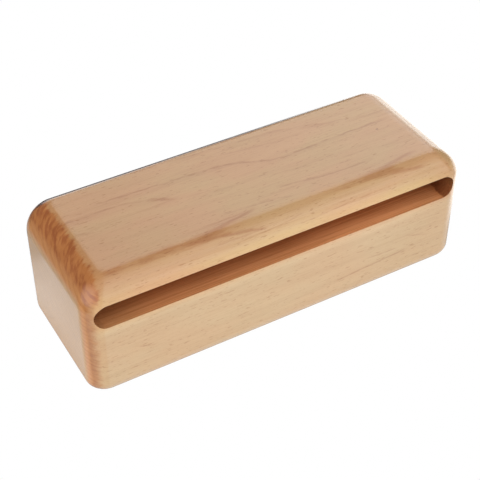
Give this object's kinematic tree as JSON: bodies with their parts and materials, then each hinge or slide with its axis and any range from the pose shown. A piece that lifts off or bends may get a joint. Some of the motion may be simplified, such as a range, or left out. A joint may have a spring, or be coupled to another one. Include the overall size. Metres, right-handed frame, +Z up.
{
  "type": "wood block",
  "caption": "Concert wood block: a rounded hardwood bar with a long blind resonance slot milled into the front under a thin striking plate.",
  "frame": {"origin": "middle of the footprint, on the surface that the block rests on", "axes": "+X along the block and its grain, +Z up through the striking plate, -Y is the front with the slot's mouth"},
  "size_m": [0.2, 0.075, 0.065],
  "materials": {
    "clear_maple": "satin clear coat over fine straight grain"
  },
  "bodies": {
    "root": {"block_body": "clear_maple"}
  },
  "joints": []
}
